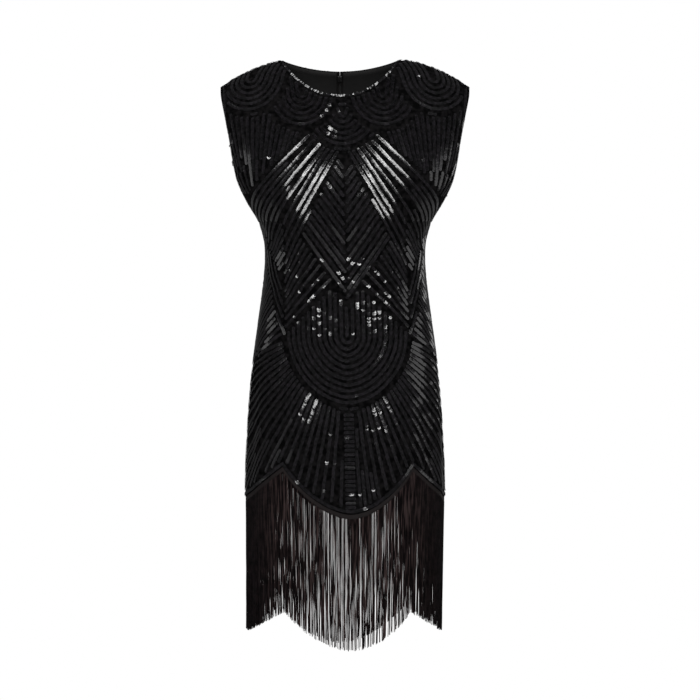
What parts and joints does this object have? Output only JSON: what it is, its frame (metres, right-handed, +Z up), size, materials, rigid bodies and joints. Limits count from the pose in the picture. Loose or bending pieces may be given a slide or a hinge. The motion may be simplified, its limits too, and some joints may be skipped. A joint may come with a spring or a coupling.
{
  "type": "flapper dress",
  "caption": "Sleeveless beaded flapper dress on its hollow worn form, with a scoop neck, a back zip and a scalloped hem of long fringe.",
  "frame": {"origin": "midway between the shoulders, level with the middle of the shoulder seams, where a wearer holds the dress up", "axes": "+Z up, the front of the dress faces -Y, +X towards the wearer's left"},
  "size_m": [0.435, 0.2502, 1.027],
  "materials": {
    "beaded_net": "black net closely sewn with rows of glossy black sequins",
    "lining": "smooth matt black woven lining",
    "fringe": "warm black twisted threads with a slight sheen",
    "zip_tape": "matt black woven tape and nylon coil",
    "zip_metal": "black enamelled zinc"
  },
  "bodies": {
    "dress": {"shell_front": "beaded_net", "shell_back_left": "beaded_net", "shell_back_right": "beaded_net", "lining_front": "lining", "lining_back_left": "lining", "lining_back_right": "lining", "fringe_front": "fringe", "fringe_back": "fringe", "zip_tape_left": "zip_tape", "zip_tape_right": "zip_tape", "zip_coil": "zip_tape", "zip_slider": "zip_metal"},
    "pull_tab": {"zip_pull_tab": "zip_metal"}
  },
  "joints": [
    {"name": "pull_tab_swing", "type": "hinge", "parent": "dress", "child": "pull_tab", "pos_m": [-0.009, 0.04746, -0.00693], "axis": [1, 0, 0], "range_deg": [0, 140]}
  ]
}
